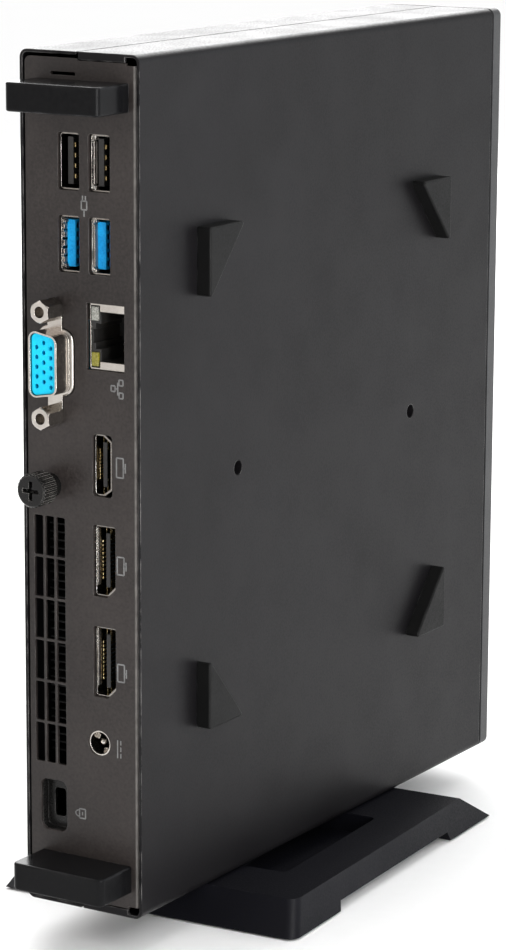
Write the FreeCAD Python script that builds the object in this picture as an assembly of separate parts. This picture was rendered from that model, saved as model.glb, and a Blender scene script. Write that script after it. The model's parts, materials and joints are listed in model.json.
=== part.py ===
import FreeCAD, Part
import math
import os

from FreeCAD import Vector

# A slim office mini PC standing upright on a two-part plastic stand. Millimetres.
#
# Every piece is modelled in case coordinates: x = 0 on the mid-plane of the case, with +X
# towards the side that carries the rubber feet; y = 0 on the rear rim, with +Y towards the
# front bezel; z = 0 on the edge that the case stands on. save() then moves each piece to the
# row frame, whose origin is the bottom centre of the whole object.

X = Vector(1, 0, 0)
Y = Vector(0, 1, 0)
Z = Vector(0, 0, 1)

# ---------------------------------------------------------------- driving dimensions
CASE_T = 33.0               # case thickness, X
CASE_D = 175.0              # case depth with the bezel, Y
CASE_H = 204.0              # case height, Z
SHEET = 0.7                 # steel sheet of the casing
CORNER_R = 2.0              # bend radius of the casing's long edges
SEAM_X = -0.5               # where cover and chassis meet on the top and bottom faces
SEAM_GAP = 0.6
BEZEL_D = 4.7
BEZEL_GAP = 0.9
PANEL_Y = 0.25              # outer face of the rear panel
PANEL_T = 0.8
PANEL_X = (-15.3, 15.4)     # the panel's free edge and its folded edge
LIP_H = 1.85                # height of the chassis lips above and below the panel
BUMPER_PROUD = 12.5         # how far the rear bumpers stand behind the rear rim

STAND_H = 9.0
STAND_W = 82.0
STAND_Y = (24.9, 137.5)
STAND_OFFSET_X = -1.9       # the stand's centre line, off the middle plane of the case
STAND_TURN = 3.35           # degrees between the stand and the case
STAND_TOE = 24.5            # length of each foot pad under the stand
STAND_ARCH = 2.4            # rise of the underside between the foot pads
STAND_STEEP = 4.6           # run of the steep end of a wing
STAND_RAMP = 14.8           # run of the ramped end of a wing
STAND_DRAFT = 2.1           # how far a wing's long side leans in at the top

BOARD_X = 9.3               # component side of the main board
BOARD_T = 1.6
FRONT_X = 2.0               # centre line of the controls on the front face

LAN_AT = (1.8, 131.1)       # low corner (x, z) of the network jack
LAN_SIZE = (10.4, 15.3)
USB_SIZE = (5.8, 13.1)
USB2_Z = 172.3
USB3_Z = 153.2
USB_STACK_X = (-6.18, 2.28) # low x of the two openings in each stack
VIDEO_A_AT = (3.0, 101.3)
VIDEO_A_SIZE = (4.8, 14.6)
VIDEO_A_CLEAR = 0.65        # extra width of the panel opening on its +X side
VIDEO_B_AT = ((3.05, 77.35), (3.05, 53.0))
VIDEO_B_SIZE = (6.1, 16.95)
INLET_AT = (4.4, 41.55)     # axis (x, z) of the DC power inlet
VGA_AT = (-7.0, 131.95)
VGA_SIZE = (7.9, 16.3)
VGA_FRONT = -5.5
VGA_RIM_Y = -0.45           # front of the shell's base rim, on which the screw posts sit
VGA_POST_Y = -6.6
VGA_SCREW_PITCH = 25.0
VENT_X = (-13.8, -5.0)
VENT_Z = (34.6, 94.9)
LOCK_X = (-12.5, -5.2)
LOCK_Z = (18.0, 30.3)
LOCK_R = 1.8

SCREW_AT = (-8.9, 102.4)    # axis (x, z) of the cover thumbscrew
TAB_Y = (8.0, 9.2)          # cover tab that the thumbscrew threads into
RETAINER_Y = (6.4, 7.0)     # ring that keeps the loosened screw on the panel

FOOT_Y = (24.0, 141.3)      # right-angle corners of the triangular rubber feet
FOOT_Z = (41.5, 162.6)
FOOT_LEG = (15.5, 17.5)
FOOT_H = 3.8
BRACKET_Y = (42.4, 127.4)   # bracket screw holes, 85 mm apart
BRACKET_R = 1.8

FAN_AT = (50.0, 65.0)       # axis (y, z) of the blower
FAN_X = (-14.0, -4.0)
CPU_AT = (105.0, 65.0)
CELL_AT = (128.0, 104.0)

BUTTON_Z = 182.0
BUTTON_R = 5.8
BUTTON_TRAVEL = 0.8
LIGHT_Z = 170.0
AUDIO_Z = (157.0, 145.0)
FRONT_USB_Z = (119.0, 97.0)

# ---------------------------------------------------------------- derived dimensions
HALF_T = CASE_T / 2
SHELL_END = CASE_D - BEZEL_D - BEZEL_GAP
IN_X = HALF_T - SHEET       # inner face of the side walls
FRONT_WALL = (SHELL_END - 3.3, SHELL_END - 2.3)
BEZEL_BACK = CASE_D - BEZEL_D
PANEL_BACK = PANEL_Y + PANEL_T
PORT_Y = PANEL_BACK + 0.05  # mouths of the ports that sit behind the panel
BUMPER_Z = (9.4, CASE_H - 9.8)
ROW_SHIFT = Vector(-STAND_OFFSET_X, -(CASE_D - BUMPER_PROUD) / 2, STAND_H)


# ---------------------------------------------------------------- shape helpers
def box(x, y, z):
    """Box over three (low, high) spans."""
    return Part.makeBox(x[1] - x[0], y[1] - y[0], z[1] - z[0], Vector(x[0], y[0], z[0]))


def rod(centre, axis, radius, length):
    """Cylinder from centre along axis."""
    return Part.makeCylinder(radius, length, Vector(*centre), axis)


def tube(centre, axis, outer, inner, length):
    """Hollow cylinder from centre along axis."""
    return rod(centre, axis, outer, length).cut(rod(centre, axis, inner, length))


def prism(corners, along):
    """Straight prism of a polygon given by its 3-D corners."""
    points = [Vector(*corner) for corner in corners]
    return Part.Face(Part.makePolygon(points + [points[0]])).extrude(along)


def edges_along(shape, axis):
    """Straight edges of a shape that run parallel to an axis."""
    straight = [edge for edge in shape.Edges if edge.Curve.TypeId == "Part::GeomLine"]
    return [edge for edge in straight if abs(abs(edge.tangentAt(edge.FirstParameter).dot(axis)) - 1) < 1e-6]


def soften(shape, axis, radius):
    """Round every edge parallel to an axis."""
    return shape.makeFillet(radius, edges_along(shape, axis))


def rounded_box(x, y, z, axis, radius):
    return soften(box(x, y, z), axis, radius)


def join(*shapes):
    """One solid from overlapping or touching shapes."""
    return shapes[0].multiFuse(list(shapes[1:])).removeSplitter()


def group(shapes):
    """Several identical solids kept as one node."""
    return Part.makeCompound(list(shapes))


def span(low, size):
    return (low, low + size)


def grow(limits, margin):
    return (limits[0] - margin, limits[1] + margin)


# ---------------------------------------------------------------- casing
def casing_ring():
    """The bent sheet steel outline of the case, before it is split into two halves."""
    outer = rounded_box((-HALF_T, HALF_T), (0, SHELL_END), (0, CASE_H), Y, CORNER_R)
    inner = rounded_box((-IN_X, IN_X), (0, SHELL_END), (SHEET, CASE_H - SHEET), Y, CORNER_R - SHEET)
    return outer.cut(inner)


def seam_lip(z_inner, inward):
    """Joggled strip behind a seam, which the cover's flange slides over."""
    step = 0.15 * inward
    strip = sorted((z_inner + step, z_inner + 0.85 * inward + step))
    weld = sorted((z_inner, z_inner + step))
    return [box((-7, 4), (12, 160), strip), box((0.5, 4), (12, 160), weld)]


def peg_spans():
    """(x, y) spans of the two locating pegs of the stand."""
    return [((5.0, 9.0), (60.0, 70.0)), ((5.0, 9.0), (93.0, 103.0))]


def chassis_base():
    """Steel half that carries the board, with the front wall and bracket screw bosses."""
    seam = SEAM_X + SEAM_GAP / 2
    shell = casing_ring().common(box((seam, HALF_T), (0, SHELL_END), (0, CASE_H)))
    wall = box((-13.8, IN_X), FRONT_WALL, (3, CASE_H - 3))
    bosses = [rod((IN_X - 2.5, y, CASE_H / 2), X, BRACKET_R + 1.3, 2.5) for y in BRACKET_Y]
    lips = seam_lip(SHEET, 1) + seam_lip(CASE_H - SHEET, -1)
    lip_z = (SHEET / 2, LIP_H)
    lips += [box((seam, 12.5), (0, SHEET), z) for z in (lip_z, (CASE_H - lip_z[1], CASE_H - lip_z[0]))]
    shell = join(shell, wall, *bosses, *lips)
    cuts = [rod((IN_X - 3, y, CASE_H / 2), X, BRACKET_R, 6) for y in BRACKET_Y]
    cuts += [seated(box(grow(x, 0.3), grow(y, 0.3), (-1, 3))) for x, y in peg_spans()]
    cuts += front_holes(FRONT_WALL[0] - 1, 4, 0.3)
    cuts.append(rod((FRONT_X, FRONT_WALL[0] - 1, BUTTON_Z), Y, 2.0, 4))
    return shell.cut(cuts)


def front_holes(y, depth, margin):
    """Holes for the front ports, light pipe and cooling slots, through a wall at y."""
    cuts = [rod((FRONT_X, y, LIGHT_Z), Y, 1.0 + margin, depth)]
    cuts += [rod((FRONT_X, y, z), Y, 2.9 + margin, depth) for z in AUDIO_Z]
    for z in FRONT_USB_Z:
        port_x = span(FRONT_X - USB_SIZE[0] / 2, USB_SIZE[0])
        cuts.append(box(grow(port_x, margin), span(y, depth), grow(span(z, USB_SIZE[1]), margin)))
    for row in range(12):
        slot_z = span(20 + 5.4 * row, 2.4)
        cuts.append(rounded_box((-1, 12), span(y, depth), slot_z, Y, 1.1))
    return cuts


def side_cover():
    """Sliding half of the casing, with the fan grille and the thumbscrew tab."""
    seam = SEAM_X - SEAM_GAP / 2
    shell = casing_ring().common(box((-HALF_T, seam), (0, SHELL_END), (0, CASE_H)))
    tab = box((-IN_X, SCREW_AT[0] + 4.9), TAB_Y, (98, 108))
    shell = join(shell, tab)
    cuts = [rod((SCREW_AT[0], TAB_Y[0] - 1, SCREW_AT[1]), Y, 1.75, 4)]
    grille_r = 25.0
    slot_h = 2.4
    for row in range(-5, 6):
        offset = 4.3 * row
        reach = math.sqrt(grille_r ** 2 - offset ** 2)
        slot_z = span(FAN_AT[1] + offset - slot_h / 2, slot_h)
        for side in (-1, 1):
            slot_y = sorted((FAN_AT[0] + 1.5 * side, FAN_AT[0] + reach * side))
            cuts.append(rounded_box((-HALF_T - 1, -IN_X + 1), slot_y, slot_z, X, 1.1))
    return shell.cut(cuts)


def rear_panel():
    """Rear plate with its folded edge, spot-weld dimples and all port openings."""
    front = (PANEL_Y, PANEL_BACK)
    fold_x = PANEL_X[1]
    plate = box(PANEL_X, front, (1.55, CASE_H - 1.55))
    free_corners = [edge for edge in edges_along(plate, Y) if edge.CenterOfMass.x < 0]
    plate = plate.makeFillet(1.5, free_corners)
    flange = box((fold_x - PANEL_T, fold_x), (PANEL_Y, 9.5), (2.6, CASE_H - 2.6))
    panel = join(plate, flange)
    bend = [edge for edge in edges_along(panel, Z)
            if edge.CenterOfMass.x > fold_x - 0.1 and edge.CenterOfMass.y < PANEL_Y + 0.1]
    panel = panel.makeFillet(PANEL_T, bend)
    dimples = [rod((fold_x - 0.2, 5.5, z), X, 1.3, IN_X - fold_x + 0.2) for z in (30, 102, 174)]
    panel = join(panel, *dimples)
    through = (PANEL_Y - 1, PANEL_BACK + 1)
    cuts = [box((12.7, IN_X + 1), through, z) for z in ((0, 2.6), (CASE_H - 2.6, CASE_H))]
    cuts += [box((SEAM_X - 0.1, 13), through, z) for z in ((0, LIP_H + 0.2), (CASE_H - LIP_H - 0.2, CASE_H))]
    for z in (USB2_Z, USB3_Z):
        for x in USB_STACK_X:
            cuts.append(rounded_box(grow(span(x, USB_SIZE[0]), 0.1), through,
                                    grow(span(z, USB_SIZE[1]), 0.1), Y, 0.8))
    cuts.append(box((LAN_AT[0] - 0.25, LAN_AT[0] + LAN_SIZE[0] - 0.25), through,
                    grow(span(LAN_AT[1], LAN_SIZE[1]), 0.15)))
    video_x = (VIDEO_A_AT[0] - 0.1, VIDEO_A_AT[0] + VIDEO_A_SIZE[0] + VIDEO_A_CLEAR)
    cuts.append(rounded_box(video_x, through, grow(span(VIDEO_A_AT[1], VIDEO_A_SIZE[1]), 0.1), Y, 1.0))
    cuts += [video_b_outline(at, 0.1, through) for at in VIDEO_B_AT]
    cuts.append(rod((INLET_AT[0], through[0], INLET_AT[1]), Y, 3.15, 3))
    cuts.append(d_outline(1.2, through))
    for z in vga_screw_z():
        cuts.append(rod((VGA_AT[0], through[0], z), Y, 1.55, 3))
    cuts.append(rod((SCREW_AT[0], through[0], SCREW_AT[1]), Y, 2.3, 3))
    cuts.append(box((-8.0, -1.25), through, (198.45, 199.2)))
    cuts += [rod((x, through[0], z), Y, 1.6, 3) for x, z in bumper_pegs()]
    cuts += vent_slots(through)
    panel = panel.cut(cuts)
    lock_hole = rounded_box(LOCK_X, (PANEL_Y - 0.5, PANEL_BACK + 0.5), LOCK_Z, Y, LOCK_R)
    panel = panel.cut(lock_hole)
    rim = [edge for edge in panel.Edges if abs(edge.CenterOfMass.y - PANEL_Y) < 1e-3
           and LOCK_X[0] - 0.1 < edge.CenterOfMass.x < LOCK_X[1] + 0.1
           and LOCK_Z[0] - 0.1 < edge.CenterOfMass.z < LOCK_Z[1] + 0.1]
    return panel.makeFillet(0.5, rim)


def vent_slots(through):
    """Three columns of six tall exhaust slots."""
    columns = 3
    rows = 6
    bar = 0.55
    width = (VENT_X[1] - VENT_X[0] - bar * (columns - 1)) / columns
    height = (VENT_Z[1] - VENT_Z[0] - bar * (rows - 1)) / rows
    slots = []
    for column in range(columns):
        for row in range(rows):
            x = VENT_X[0] + column * (width + bar)
            z = VENT_Z[0] + row * (height + bar)
            slots.append(rounded_box(span(x, width), through, span(z, height), Y, 0.4))
    return slots


def front_bezel():
    """Plastic front cap on the cover, with clips that reach back under the cover's flanges."""
    cap = rounded_box((-HALF_T, HALF_T), (BEZEL_BACK, CASE_D), (0, CASE_H), Y, CORNER_R)
    rim = [edge for edge in cap.Edges if edge.CenterOfMass.y > CASE_D - 0.01]
    cap = cap.makeFillet(1.2, rim)
    hollow = box((-14.6, 14.6), (BEZEL_BACK, CASE_D - 2.0), (2, CASE_H - 2))
    cap = cap.cut(hollow)
    clips = [box((-14, -8.2), (BEZEL_BACK - 12, BEZEL_BACK + 1), z)
             for z in ((1.2, 2.6), (CASE_H - 2.6, CASE_H - 1.2))]
    cap = join(cap, *clips)
    cuts = front_holes(CASE_D - 3, 4, 0.25)
    cuts.append(rod((FRONT_X, CASE_D - 3, BUTTON_Z), Y, BUTTON_R + 0.25, 4))
    return cap.cut(cuts)


def bumper_pegs():
    return [(x, z) for z in BUMPER_Z for x in (-7.0, 6.0)]


def rear_bumper(centre_z):
    """Block on two pegs, at a height on the rear panel."""
    block = box((-12.2, 13.4), (-BUMPER_PROUD, PANEL_Y), (centre_z - 3.35, centre_z + 3.35))
    front = [edge for edge in edges_along(block, Z) if edge.CenterOfMass.y < -1]
    block = block.makeFillet(1.5, front)
    rims = [edge for edge in block.Edges if edge.CenterOfMass.y < PANEL_Y - 0.01
            and abs(edge.tangentAt(edge.FirstParameter).z) < 0.5]
    block = block.makeFillet(0.5, rims)
    pegs = [rod((x, PANEL_Y - 0.5, z), Y, 1.5, 4) for x, z in bumper_pegs() if abs(z - centre_z) < 1]
    return join(block, *pegs)


def rear_bumpers():
    """Two solid plastic blocks that keep plugs and cables clear of a wall."""
    return group(rear_bumper(z) for z in BUMPER_Z)


def rubber_feet():
    """Four triangular pads, each with its right angle towards the nearest case corner."""
    feet = []
    for y, y_side in zip(FOOT_Y, (1, -1)):
        for z, z_side in zip(FOOT_Z, (1, -1)):
            corner = (HALF_T, y, z)
            along_y = (HALF_T, y + y_side * FOOT_LEG[0], z)
            along_z = (HALF_T, y, z + z_side * FOOT_LEG[1])
            foot = soften(prism([corner, along_y, along_z], X * FOOT_H), X, 0.7)
            top = [edge for edge in foot.Edges if edge.CenterOfMass.x > HALF_T + FOOT_H - 0.01]
            feet.append(foot.makeFillet(0.5, top))
    return group(feet)


def lock_cup():
    """Cup behind the rear panel with the slot for a security cable."""
    back = PANEL_BACK
    cup = box(grow(LOCK_X, 0.6), (back, back + 3.2), grow(LOCK_Z, 0.6))
    pocket = rounded_box(LOCK_X, (back - 1, back + 2.2), LOCK_Z, Y, LOCK_R)
    middle_x = sum(LOCK_X) / 2
    middle_z = sum(LOCK_Z) / 2
    slot_x = (middle_x - 1.6, middle_x + 1.6)
    slot_z = (middle_z - 3.5, middle_z + 3.5)
    return cup.cut([pocket, rounded_box(slot_x, (back, back + 4), slot_z, Y, 0.8)])


# ---------------------------------------------------------------- stand
def stand_half():
    """One of two identical wings: steep near end, ramped far end, open pocket beside the case."""
    near, far = STAND_Y
    reach = STAND_W / 2
    bottom = -STAND_H + 0.5
    outline = [(0, near, bottom), (0, near + STAND_TOE, bottom),
               (0, near + STAND_TOE + 1, bottom + STAND_ARCH),
               (0, far - STAND_TOE - 1, bottom + STAND_ARCH), (0, far - STAND_TOE, bottom),
               (0, far, bottom), (0, far - STAND_RAMP, 0), (0, near + STAND_STEEP, 0)]
    wing = prism(outline, X * reach)
    lean = [(reach, near - 1, bottom), (reach + 5, near - 1, bottom), (reach + 5, near - 1, 1),
            (reach - STAND_DRAFT * (1 - bottom) / -bottom, near - 1, 1)]
    wing = wing.cut(prism(lean, Y * (far - near + 2)))
    steep_corner = [edge for edge in wing.Edges if edge.CenterOfMass.x > reach - STAND_DRAFT
                    and edge.CenterOfMass.y < near + STAND_STEEP and 8 < edge.Length < STAND_H + 2]
    wing = wing.makeFillet(3.0, steep_corner)
    pocket = rounded_box((8.5, 27.0), (46.5, 97), (-5.0, 1), Z, 2.0)
    pads = [rod((x, y, bottom - 0.1), Z, 4.6, 0.6) for x, y in pad_centres()]
    key_hole = box((-1, 6.2), (near + 27.9, near + 40.1), (-6.0, -2.0))
    wing = wing.cut([pocket, key_hole] + pads)
    key = box((-6.0, 0), (far - 40, far - 28), (-5.8, -2.2))
    pegs = [box(x, y, (-0.5, 3.0)) for x, y in peg_spans()]
    return wing, key, pegs


def pad_centres():
    middle = sum(STAND_Y) / 2
    reach = (STAND_Y[1] - STAND_Y[0]) / 2 - 13
    return [(30, middle - reach), (30, middle + reach), (10, middle - reach), (10, middle + reach)]


def about_stand(shape):
    """Copy of a shape turned half a turn about the stand's vertical centre line."""
    turned = shape.copy()
    turned.rotate(Vector(0, sum(STAND_Y) / 2, 0), Z, 180)
    return turned


def seated(shape):
    """Copy of a shape of the stand, put where the stand sits under the case."""
    placed = shape.copy()
    placed.rotate(Vector(0, sum(STAND_Y) / 2, 0), Z, STAND_TURN)
    placed.translate(X * STAND_OFFSET_X)
    return placed


def stand_right():
    wing, key, pegs = stand_half()
    return seated(join(wing, key, *pegs))


def stand_left():
    wing, key, _ = stand_half()
    return seated(about_stand(join(wing, key)))


def stand_pads():
    """Rubber discs under both wings."""
    pads = [rod((x, y, -STAND_H), Z, 4.5, 1.0) for x, y in pad_centres()]
    return group(seated(pad) for pad in pads + [about_stand(pad) for pad in pads])


# ---------------------------------------------------------------- rear ports
def hollow_port(x, y, z, wall):
    """Thin metal sleeve, open at both ends."""
    return rounded_box(x, y, z, Y, 0.7).cut(rounded_box(grow(x, -wall), y, grow(z, -wall), Y, 0.4))


def usb_shells():
    """Four sleeves of the two rear stacks and two of the front ports."""
    wall = 0.35
    shells = [hollow_port(span(x, USB_SIZE[0]), (PORT_Y, 14), span(z, USB_SIZE[1]), wall)
              for z in (USB2_Z, USB3_Z) for x in USB_STACK_X]
    front_x = span(FRONT_X - USB_SIZE[0] / 2, USB_SIZE[0])
    shells += [hollow_port(front_x, (158, 173.5), span(z, USB_SIZE[1]), wall) for z in FRONT_USB_Z]
    return group(shells)


def usb_body(z, offset, tongue):
    """Moulded back of a two-high stack with its two tongues."""
    back = box((USB_STACK_X[0], BOARD_X), (14, 17), span(z, USB_SIZE[1]))
    tongue_z = grow(span(z, USB_SIZE[1]), -1.1)
    tongues = [box(span(x + offset, tongue), (2.2, 15), tongue_z) for x in USB_STACK_X]
    return join(back, *tongues)


def usb2_body():
    return usb_body(USB2_Z, 1.5, 1.5)


def usb3_body():
    return usb_body(USB3_Z, 1.2, 2.2)


def usb2_contacts():
    """Four spring contacts on each tongue of the upper stack."""
    contacts = []
    for x in USB_STACK_X:
        for index in range(4):
            middle = USB2_Z + USB_SIZE[1] / 2 + (index - 1.5) * 2.4
            contacts.append(box(span(x + 3.0, 0.35), (2.6, 12), (middle - 0.5, middle + 0.5)))
    return group(contacts)


def lan_cavity():
    """Space for the network plug, with the stepped notch for its latch."""
    x0 = LAN_AT[0]
    middle = LAN_AT[1] + LAN_SIZE[1] / 2
    main = box((x0 + 2.9, x0 + 9.6), (0, 12.5), (middle - 5.85, middle + 5.85))
    notch = box((x0 + 1.4, x0 + 3), (0, 12.5), (middle - 3.0, middle + 3.0))
    step = box((x0 + 0.7, x0 + 2), (0, 12.5), (middle - 1.6, middle + 1.6))
    return main.fuse([notch, step])


def lan_leds():
    """Two status windows beside the latch notch."""
    x0, z0 = LAN_AT
    z1 = z0 + LAN_SIZE[1]
    heights = ((z0 + 0.7, z0 + 3.9), (z1 - 3.9, z1 - 0.7))
    return group(box((x0 + 0.6, x0 + 2.4), (1.0, 4.5), z) for z in heights)


def lan_jack_shield():
    x = span(LAN_AT[0], LAN_SIZE[0])
    z = span(LAN_AT[1], LAN_SIZE[1])
    shield = box(x, (PORT_Y, 16), z).cut(box(grow(x, -0.35), (0, 15.65), grow(z, -0.35)))
    lip = box((x[0] + 2.9, x[1]), (PORT_Y, PORT_Y + 0.35), z)
    return join(shield, lip).cut([lan_cavity()] + lan_leds().Solids)


def lan_jack_insert():
    x = grow(span(LAN_AT[0], LAN_SIZE[0]), -0.4)
    z = grow(span(LAN_AT[1], LAN_SIZE[1]), -0.4)
    block = box(x, (1.5, 15.6), z).cut([lan_cavity()] + lan_leds().Solids)
    return block.cut(lan_jack_contacts().Solids)


def lan_jack_contacts():
    """Eight spring wires that slope from the mouth into the cavity."""
    base_x = LAN_AT[0] + 9.4
    middle = LAN_AT[1] + LAN_SIZE[1] / 2
    wires = []
    for index in range(8):
        z = middle + (index - 3.5) * 1.02
        side = [(base_x, 1.8, z - 0.22), (base_x - 1.6, 10.5, z - 0.22),
                (base_x - 1.3, 10.5, z - 0.22), (base_x + 0.3, 1.8, z - 0.22)]
        wires.append(prism(side, Z * 0.44))
    return group(wires)


def video_a_outline(margin, y):
    """Flat port outline with both corners of its board side cut off."""
    x0, x1 = grow(span(VIDEO_A_AT[0], VIDEO_A_SIZE[0]), margin)
    z0, z1 = grow(span(VIDEO_A_AT[1], VIDEO_A_SIZE[1]), margin)
    cut_x = 2.0
    cut_z = 1.5
    corners = [(x0, z0), (x1 - cut_x, z0), (x1, z0 + cut_z), (x1, z1 - cut_z), (x1 - cut_x, z1), (x0, z1)]
    return soften(prism([(x, y[0], z) for x, z in corners], Y * (y[1] - y[0])), Y, 0.5)


def video_b_outline(at, margin, y):
    """Flat port outline with one corner cut off."""
    x0, x1 = grow(span(at[0], VIDEO_B_SIZE[0]), margin)
    z0, z1 = grow(span(at[1], VIDEO_B_SIZE[1]), margin)
    cut = 2.3
    corners = [(x0, z0), (x1 - cut, z0), (x1, z0 + cut), (x1, z1), (x0, z1)]
    return soften(prism([(x, y[0], z) for x, z in corners], Y * (y[1] - y[0])), Y, 0.5)


def video_port_shells():
    """Metal sleeves of the three digital video ports."""
    outside = (PORT_Y, 13)
    inside = (0, 12.6)
    shells = [video_a_outline(0, outside).cut(video_a_outline(-0.35, inside))]
    shells += [video_b_outline(at, 0, outside).cut(video_b_outline(at, -0.35, inside)) for at in VIDEO_B_AT]
    return group(shells)


def video_port_tongues():
    """Contact tongues of the three digital video ports, each on its moulded back."""
    bodies = []
    ports = [(VIDEO_A_AT, VIDEO_A_SIZE)] + [(at, VIDEO_B_SIZE) for at in VIDEO_B_AT]
    for (x0, z0), size in ports:
        z = span(z0, size[1])
        middle = x0 + size[0] / 2
        tongue = box((middle - 0.6, middle + 0.5), (2, 12.6), grow(z, -2.0))
        bodies.append(join(tongue, box((x0 + 0.5, middle + 0.6), (9.5, 12.6), grow(z, -0.8))))
    return group(bodies)


def power_inlet_body():
    x, z = INLET_AT
    body = box((x - 4.6, BOARD_X), (2.0, 15), (z - 4.8, z + 4.8))
    return body.cut([rod((x, 0, z), Y, 3.1, 12.6), rod((x, 10, z), Y, 0.9, 6)])


def power_inlet_sleeve():
    return tube((INLET_AT[0], 0.6, INLET_AT[1]), Y, 3.05, 2.7, 12)


def power_inlet_pin():
    x, z = INLET_AT
    return join(rod((x, 2.4, z), Y, 0.85, 12), Part.makeSphere(0.85, Vector(x, 2.4, z)))


def d_outline(margin, y):
    """D-shaped connector outline, its longer side towards -X."""
    x, z = VGA_AT
    half_x = VGA_SIZE[0] / 2 + margin
    long_z = VGA_SIZE[1] / 2 + margin
    short_z = long_z - 2 * half_x * math.tan(math.radians(10))
    corners = [(x - half_x, z - long_z), (x + half_x, z - short_z),
               (x + half_x, z + short_z), (x - half_x, z + long_z)]
    depth = Y * (y[1] - y[0])
    return soften(prism([(cx, y[0], cz) for cx, cz in corners], depth), Y, 2.0 + margin)


def vga_flange_z():
    return (VGA_AT[1] - 15.4, VGA_AT[1] + 15.4)


def vga_shell():
    """D-shaped nickel shell with a base rim and screw tabs on the panel and a flange behind it."""
    back = PANEL_BACK
    flange = rounded_box((VGA_AT[0] - 6.2, VGA_AT[0] + 6.2), (back, back + 0.6), vga_flange_z(), Y, 1.0)
    rim = d_outline(1.05, (VGA_RIM_Y, back + 0.6))
    rim = rim.makeFillet(0.5, [edge for edge in rim.Edges if edge.CenterOfMass.y < VGA_RIM_Y + 0.01])
    tabs = rounded_box((VGA_AT[0] - 2.0, VGA_AT[0] + 2.0), (VGA_RIM_Y, PANEL_Y),
                       (VGA_AT[1] - 14.3, VGA_AT[1] + 14.3), Y, 1.0)
    shell = join(d_outline(0, (VGA_FRONT, back + 0.6)), flange, rim, tabs)
    cuts = [d_outline(-0.5, (VGA_FRONT - 1, back + 1))]
    cuts += [rod((VGA_AT[0], VGA_RIM_Y - 1, z), Y, 1.55, 5) for z in vga_screw_z()]
    return shell.cut(cuts)


def vga_insert():
    """Plastic contact block: three rows of five sockets, the middle row shifted by half a pitch."""
    back = PANEL_BACK + 0.6
    face = d_outline(-0.65, (VGA_FRONT + 0.5, back))
    base = box((VGA_AT[0] - 5.5, VGA_AT[0] + 5.5), (back, back + 5.5), (VGA_AT[1] - 9.5, VGA_AT[1] + 9.5))
    block = join(face, base)
    pitch = 2.29
    holes = []
    for row in range(3):
        for index in range(5):
            x = VGA_AT[0] + (row - 1) * 1.98
            z = VGA_AT[1] + (index - 2) * pitch + (pitch / 2 if row == 1 else 0) - pitch / 4
            holes.append(rod((x, VGA_FRONT, z), Y, 0.55, 5))
    return block.cut(holes)


def vga_screw_z():
    return [VGA_AT[1] + side * VGA_SCREW_PITCH / 2 for side in (-1, 1)]


def vga_jackscrews():
    """Two hexagonal screw posts with a threaded socket for the cable's own screws."""
    corner_r = 4.75 / math.sqrt(3)
    face = VGA_POST_Y
    length = VGA_RIM_Y - VGA_POST_Y
    posts = []
    for z in vga_screw_z():
        angles = [math.radians(60 * step) for step in range(6)]
        corners = [(VGA_AT[0] + corner_r * math.sin(a), face, z + corner_r * math.cos(a)) for a in angles]
        post = prism(corners, Y * length)
        cone = Part.makeCone(2.35, 4.35, 2.0, Vector(VGA_AT[0], face, z), Y)
        post = post.common(cone.fuse(rod((VGA_AT[0], face + 2, z), Y, 4.35, length - 2)))
        stud = rod((VGA_AT[0], VGA_RIM_Y - 0.2, z), Y, 1.45, 6)
        posts.append(join(post, stud).cut(rod((VGA_AT[0], face - 1, z), Y, 1.35, 5.6)))
    return group(posts)


def vga_board():
    """Small adapter board behind the D-shaped connector."""
    y = PANEL_BACK + 6.1
    return box((-13, -1), (y, y + 1.2), (VGA_AT[1] - 18, VGA_AT[1] + 16))


def vga_ribbon():
    """Flat cable from the adapter board down to the main board."""
    y = PANEL_BACK + 7.3
    z = (VGA_AT[1] - 16, VGA_AT[1] - 2)
    return join(box((-7.2, -6.8), (y, 18.8), z), box((-7.2, BOARD_X), (18.4, 18.8), z))


# ---------------------------------------------------------------- thumbscrew
def thumbscrew():
    """Knurled captive screw with a cross recess; its neck runs in the ferrule."""
    x, z = SCREW_AT
    head_front = -8.0
    head_back = -2.5
    head_r = 4.05
    head = rod((x, head_front, z), Y, head_r, head_back - head_front)
    rims = [edge for edge in head.Edges if edge.Curve.TypeId == "Part::GeomCircle"]
    head = head.makeChamfer(0.45, rims)
    screw = join(head, rod((x, head_back - 0.5, z), Y, 1.95, 9.9 - head_back), rod((x, 9, z), Y, 1.7, 3.2))
    ridges = 26
    cuts = []
    for index in range(ridges):
        angle = 2 * math.pi * index / ridges
        at = (x + head_r * math.cos(angle), head_front - 1, z + head_r * math.sin(angle))
        cuts.append(rod(at, Y, 0.26, head_back - head_front + 2))
    for half_x, half_z in ((0.5, 2.3), (2.3, 0.5)):
        recess = (head_front - 1, head_front + 1.8)
        cuts.append(box((x - half_x, x + half_x), recess, (z - half_z, z + half_z)))
    cuts.append(tube((x, RETAINER_Y[0] - 0.05, z), Y, 3, 1.5, RETAINER_Y[1] - RETAINER_Y[0] + 0.1))
    cuts.append(tube((x, 7.3, z), Y, 3, 1.7, 3))
    return screw.cut(cuts)


def thumbscrew_retainer():
    """Split ring in the neck's groove: it keeps the loosened screw on the panel."""
    x, z = SCREW_AT
    ring = tube((x, RETAINER_Y[0], z), Y, 3.2, 1.55, RETAINER_Y[1] - RETAINER_Y[0])
    return ring.cut(box((x - 0.6, x + 0.6), grow(RETAINER_Y, 1), (z, z + 4)))


def thumbscrew_ferrule():
    """Bush pressed into the panel that guides the screw's neck."""
    x, z = SCREW_AT
    bush = join(rod((x, -2.4, z), Y, 3.0, 2.4 + PANEL_Y), rod((x, 0, z), Y, 2.3, PANEL_BACK))
    return bush.cut(rod((x, -3, z), Y, 2.0, 8))


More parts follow.
